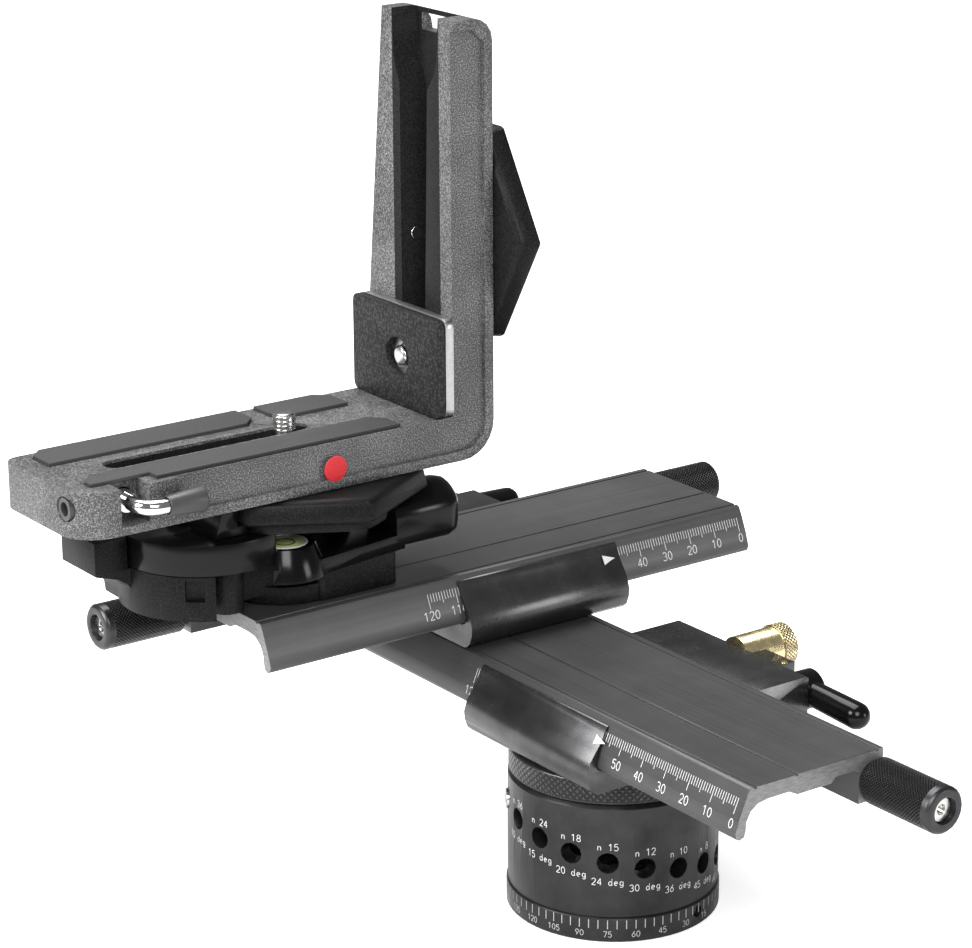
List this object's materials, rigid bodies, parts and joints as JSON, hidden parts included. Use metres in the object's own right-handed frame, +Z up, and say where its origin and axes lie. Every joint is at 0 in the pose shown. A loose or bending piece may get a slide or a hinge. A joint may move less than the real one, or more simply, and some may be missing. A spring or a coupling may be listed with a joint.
{
  "type": "panoramic tripod head",
  "caption": "Panoramic camera head with an indexed pan base, crossed micrometer slides, a quick-release clamp and an L-shaped bracket.",
  "frame": {"origin": "bottom centre of the pan base, on its turning axis", "axes": "+Z up along the turning axis, +X along the upper slide away from the free end of the bracket's foot, +Y along the lower slide towards the upper slide"},
  "size_m": [0.2634, 0.2599, 0.2619],
  "materials": {
    "degree_ring": "satin black anodised",
    "ring_grub_screw": "bright",
    "pan_shaft": "bright",
    "tripod_bush": "polished",
    "shaft_nut": "bright",
    "index_wheel": "bright",
    "pan_bush": "polished",
    "index_drum": "satin black anodised",
    "index_plunger": "bright",
    "lock_ring": "satin black anodised",
    "clamp_body": "fine grained black coating",
    "clamp_screw": "bright",
    "clamp_pivot": "bright",
    "clamp_lever": "gloss black",
    "level_vial": "clear green",
    "clamp_jaw": "gloss black",
    "bracket": "fine grained black coating",
    "corner_insert": "bright",
    "front_strip": "ribbed",
    "rear_strip": "ribbed",
    "short_strip": "ribbed",
    "lower_hexagon": "fine grained black coating",
    "rear_hexagon": "fine grained black coating",
    "camera_screw": "bright",
    "screw_washer": "bright",
    "plate_lock_lever": "bright",
    "plate_lock_cap": "fine ribbed black",
    "pad_plate": "machined",
    "pad_face": "ribbed",
    "pad_screw": "bright",
    "lower_carriage": "smooth black anodised",
    "lower_front_screw": "bright",
    "lower_back_screw": "bright",
    "lower_plate": "satin black anodised",
    "lower_lead_screw": "bright",
    "lower_near_bush": "polished",
    "lower_far_bush": "polished",
    "lower_near_knob": "fine ribbed black",
    "lower_far_knob": "fine ribbed black",
    "lower_near_knob_screw": "bright",
    "lower_far_knob_screw": "bright",
    "lower_release_nut": "polished",
    "lower_release_knob": "polished",
    "lower_release_spring": "bright",
    "lower_lock_lever": "gloss black",
    "upper_carriage": "smooth black anodised",
    "upper_front_screw": "bright",
    "upper_back_screw": "bright",
    "upper_plate": "satin black anodised",
    "upper_lead_screw": "bright",
    "upper_near_bush": "polished",
    "upper_far_bush": "polished",
    "upper_near_knob": "fine ribbed black",
    "upper_far_knob": "fine ribbed black",
    "upper_near_knob_screw": "bright",
    "upper_far_knob_screw": "bright",
    "upper_release_nut": "polished",
    "upper_release_knob": "polished",
    "upper_release_spring": "bright",
    "upper_lock_lever": "gloss black"
  },
  "bodies": {
    "base": {"degree_ring": "degree_ring", "ring_grub_screw": "ring_grub_screw", "pan_shaft": "pan_shaft", "tripod_bush": "tripod_bush", "shaft_nut": "shaft_nut", "index_wheel": "index_wheel"},
    "pan": {"index_drum": "index_drum", "pan_bush": "pan_bush", "lower_carriage": "lower_carriage", "lower_front_screw": "lower_front_screw", "lower_back_screw": "lower_back_screw", "lower_release_spring": "lower_release_spring"},
    "lock_ring": {"lock_ring": "lock_ring"},
    "index_plunger": {"index_plunger": "index_plunger"},
    "lower_plate": {"lower_plate": "lower_plate", "lower_near_bush": "lower_near_bush", "lower_far_bush": "lower_far_bush", "upper_carriage": "upper_carriage", "upper_front_screw": "upper_front_screw", "upper_back_screw": "upper_back_screw", "upper_release_spring": "upper_release_spring"},
    "lower_screw": {"lower_lead_screw": "lower_lead_screw", "lower_near_knob": "lower_near_knob", "lower_far_knob": "lower_far_knob", "lower_near_knob_screw": "lower_near_knob_screw", "lower_far_knob_screw": "lower_far_knob_screw"},
    "lower_release": {"lower_release_nut": "lower_release_nut", "lower_release_knob": "lower_release_knob"},
    "lower_lever": {"lower_lock_lever": "lower_lock_lever"},
    "upper_plate": {"upper_plate": "upper_plate", "upper_near_bush": "upper_near_bush", "upper_far_bush": "upper_far_bush", "clamp_body": "clamp_body", "clamp_screw": "clamp_screw", "clamp_pivot": "clamp_pivot", "bracket": "bracket", "corner_insert": "corner_insert", "front_strip": "front_strip", "rear_strip": "rear_strip", "short_strip": "short_strip", "lower_hexagon": "lower_hexagon", "rear_hexagon": "rear_hexagon"},
    "upper_screw": {"upper_lead_screw": "upper_lead_screw", "upper_near_knob": "upper_near_knob", "upper_far_knob": "upper_far_knob", "upper_near_knob_screw": "upper_near_knob_screw", "upper_far_knob_screw": "upper_far_knob_screw"},
    "upper_release": {"upper_release_nut": "upper_release_nut", "upper_release_knob": "upper_release_knob"},
    "upper_lever": {"upper_lock_lever": "upper_lock_lever"},
    "clamp_lever": {"clamp_lever": "clamp_lever", "level_vial": "level_vial"},
    "clamp_jaw": {"clamp_jaw": "clamp_jaw"},
    "screw_slider": {"screw_washer": "screw_washer"},
    "camera_screw": {"camera_screw": "camera_screw"},
    "plate_lock": {"plate_lock_lever": "plate_lock_lever", "plate_lock_cap": "plate_lock_cap"},
    "camera_pad": {"pad_plate": "pad_plate", "pad_face": "pad_face"},
    "pad_screw": {"pad_screw": "pad_screw"}
  },
  "joints": [
    {"name": "pan_turn", "type": "hinge", "parent": "base", "child": "pan", "pos_m": [0, 0, 0.0508], "axis": [0, 0, 1], "continuous": true},
    {"name": "lock_ring_turn", "type": "hinge", "parent": "pan", "child": "lock_ring", "pos_m": [0, 0, 0.047], "axis": [0, 0, 1], "range_deg": [0, 60]},
    {"name": "index_plunger_slide", "type": "slide", "parent": "pan", "child": "index_plunger", "axis": [-0.8522, 0.5232, 0], "range_m": [0, 0.0025]},
    {"name": "lower_plate_slide", "type": "slide", "parent": "pan", "child": "lower_plate", "axis": [0, 1, 0], "range_m": [-0.0592, 0.0578]},
    {"name": "lower_screw_turn", "type": "hinge", "parent": "lower_plate", "child": "lower_screw", "pos_m": [0.0204, 0, 0.0644], "axis": [0, 1, 0], "range_deg": [-10661, 10409]},
    {"name": "lower_release_slide", "type": "slide", "parent": "pan", "child": "lower_release", "axis": [1, 0, 0], "range_m": [0, 0.003], "stiffness_N_per_m": 600, "springref_m": -0.002},
    {"name": "lower_lever_turn", "type": "hinge", "parent": "pan", "child": "lower_lever", "pos_m": [0.04975, -0.024, 0.0617], "axis": [1, 0, 0], "range_deg": [-80, 40]},
    {"name": "upper_plate_slide", "type": "slide", "parent": "lower_plate", "child": "upper_plate", "axis": [1, 0, 0], "range_m": [-0.0467, 0.0684]},
    {"name": "upper_screw_turn", "type": "hinge", "parent": "upper_plate", "child": "upper_screw", "pos_m": [0, 0.091, 0.0863], "axis": [1, 0, 0], "range_deg": [-8411, 12317]},
    {"name": "upper_release_slide", "type": "slide", "parent": "lower_plate", "child": "upper_release", "axis": [0, 1, 0], "range_m": [0, 0.003], "stiffness_N_per_m": 600, "springref_m": -0.002},
    {"name": "upper_lever_turn", "type": "hinge", "parent": "lower_plate", "child": "upper_lever", "pos_m": [0.0293, 0.12035, 0.0836], "axis": [0, 1, 0], "range_deg": [-80, 40]},
    {"name": "clamp_lever_turn", "type": "hinge", "parent": "upper_plate", "child": "clamp_lever", "pos_m": [-0.097, 0.0706, 0.1115], "axis": [0, 0, -1], "range_deg": [0, 60]},
    {"name": "clamp_jaw_slide", "type": "slide", "parent": "upper_plate", "child": "clamp_jaw", "axis": [-1, 0, 0], "range_m": [0, 0.004]},
    {"name": "screw_slider_slide", "type": "slide", "parent": "upper_plate", "child": "screw_slider", "axis": [1, 0, 0], "range_m": [-0.055, 0.0032]},
    {"name": "camera_screw_turn", "type": "hinge", "parent": "screw_slider", "child": "camera_screw", "pos_m": [-0.072, 0.0644, 0.1448], "axis": [0, 0, 1], "continuous": true},
    {"name": "plate_lock_turn", "type": "hinge", "parent": "upper_plate", "child": "plate_lock", "pos_m": [-0.1344, 0.043, 0.1394], "axis": [0, -1, 0], "range_deg": [0, 90]},
    {"name": "camera_pad_slide", "type": "slide", "parent": "upper_plate", "child": "camera_pad", "axis": [0, 0, 1], "range_m": [0, 0.055]},
    {"name": "pad_screw_turn", "type": "hinge", "parent": "camera_pad", "child": "pad_screw", "pos_m": [-0.026, 0.0644, 0.16], "axis": [1, 0, 0], "continuous": true}
  ],
  "couplings": [
    {"joint": "lower_screw_turn", "follows": "lower_plate_slide", "rad_per_m": 3141.6},
    {"joint": "upper_screw_turn", "follows": "upper_plate_slide", "rad_per_m": 3141.6},
    {"joint": "clamp_jaw_slide", "follows": "clamp_lever_turn", "m_per_rad": 0.0038}
  ]
}
